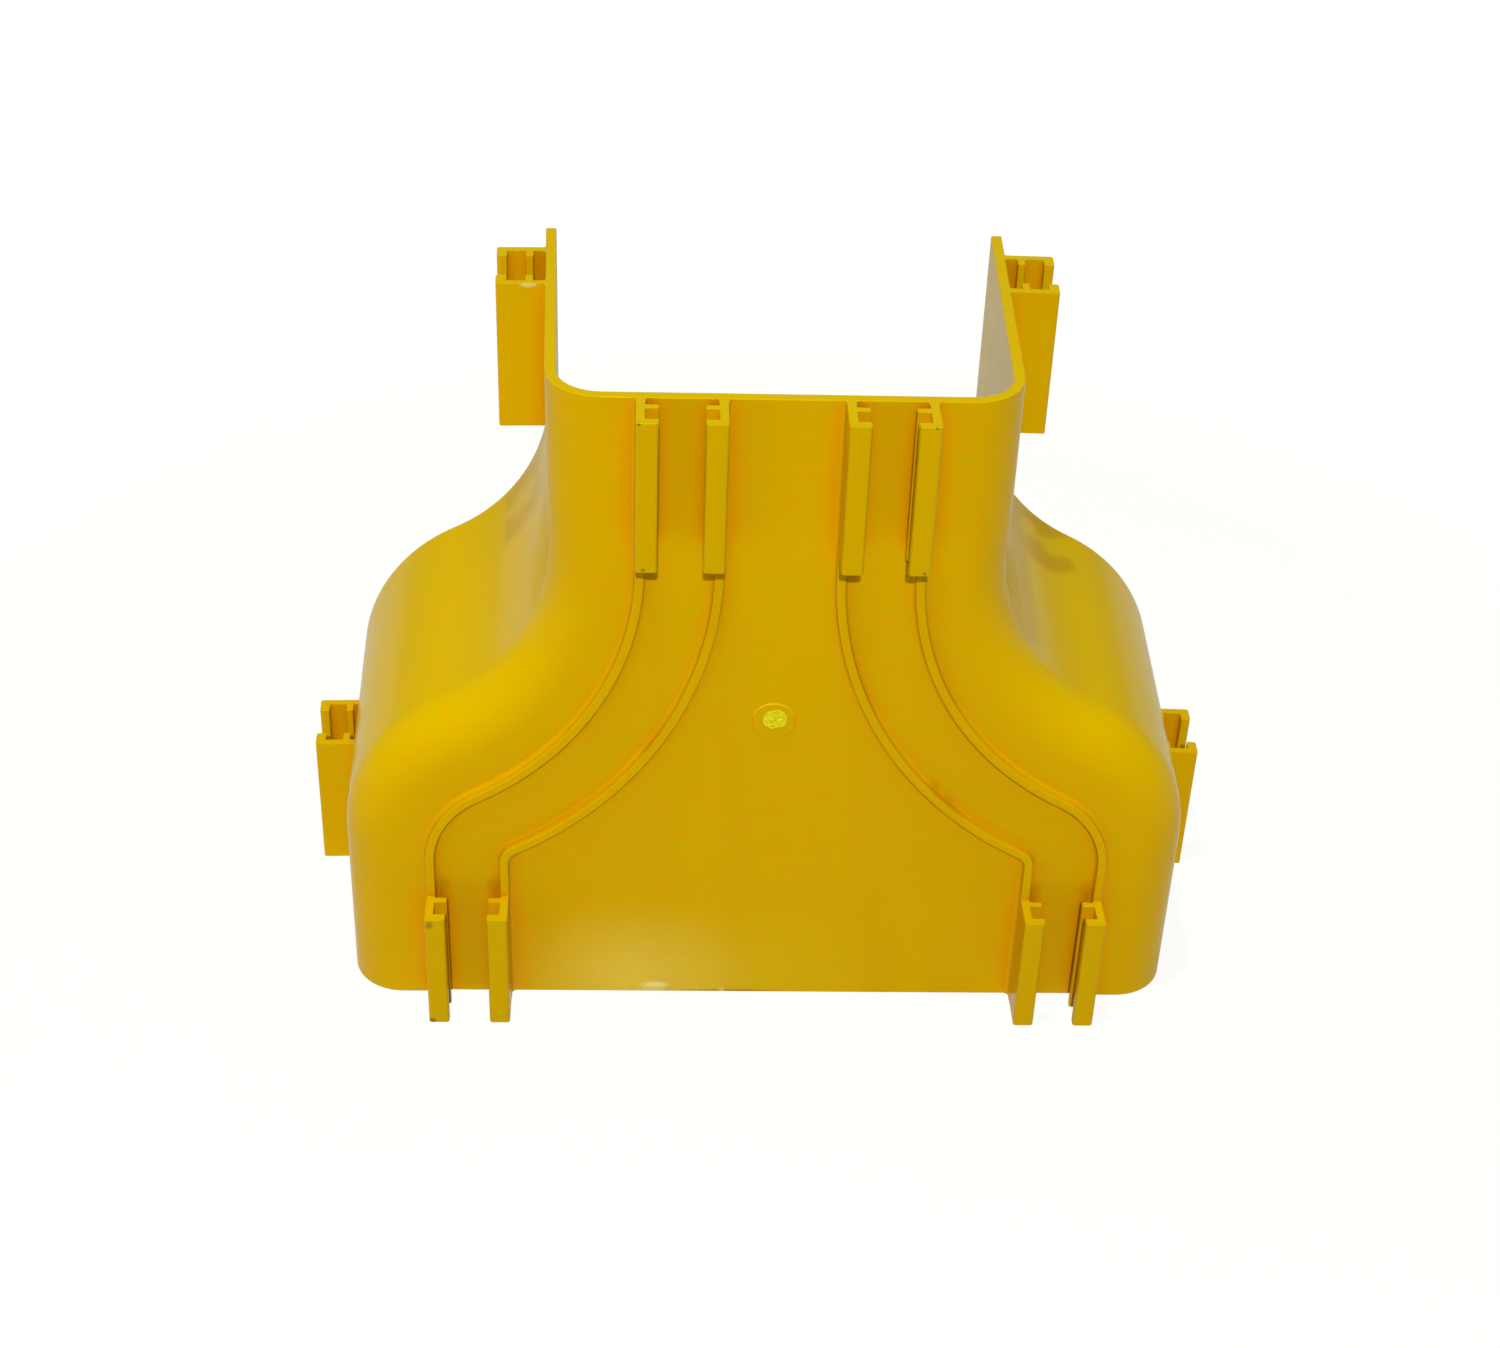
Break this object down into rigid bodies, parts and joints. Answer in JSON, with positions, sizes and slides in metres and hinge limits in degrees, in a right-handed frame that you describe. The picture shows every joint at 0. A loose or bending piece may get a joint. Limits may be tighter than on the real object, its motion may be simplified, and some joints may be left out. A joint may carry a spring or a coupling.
{
  "type": "fibre raceway fitting",
  "caption": "Moulded U channel that reduces a wide fibre duct to a narrower one, with hooked rails for joiners on its floor and side walls.",
  "frame": {"origin": "middle of the mouth's end plane, at the bottom centre of the box around the part, which stands on its wide end", "axes": "+Z from the mouth (wide end) to the neck (narrow end), +X across the channel, +Y out of the channel's open side; the floor's outer face looks towards -Y"},
  "size_m": [0.2748, 0.1136, 0.2005],
  "materials": {
    "yellow_abs": "semi-gloss moulded ABS"
  },
  "bodies": {
    "root": {"raceway_reducer": "yellow_abs"}
  },
  "joints": []
}
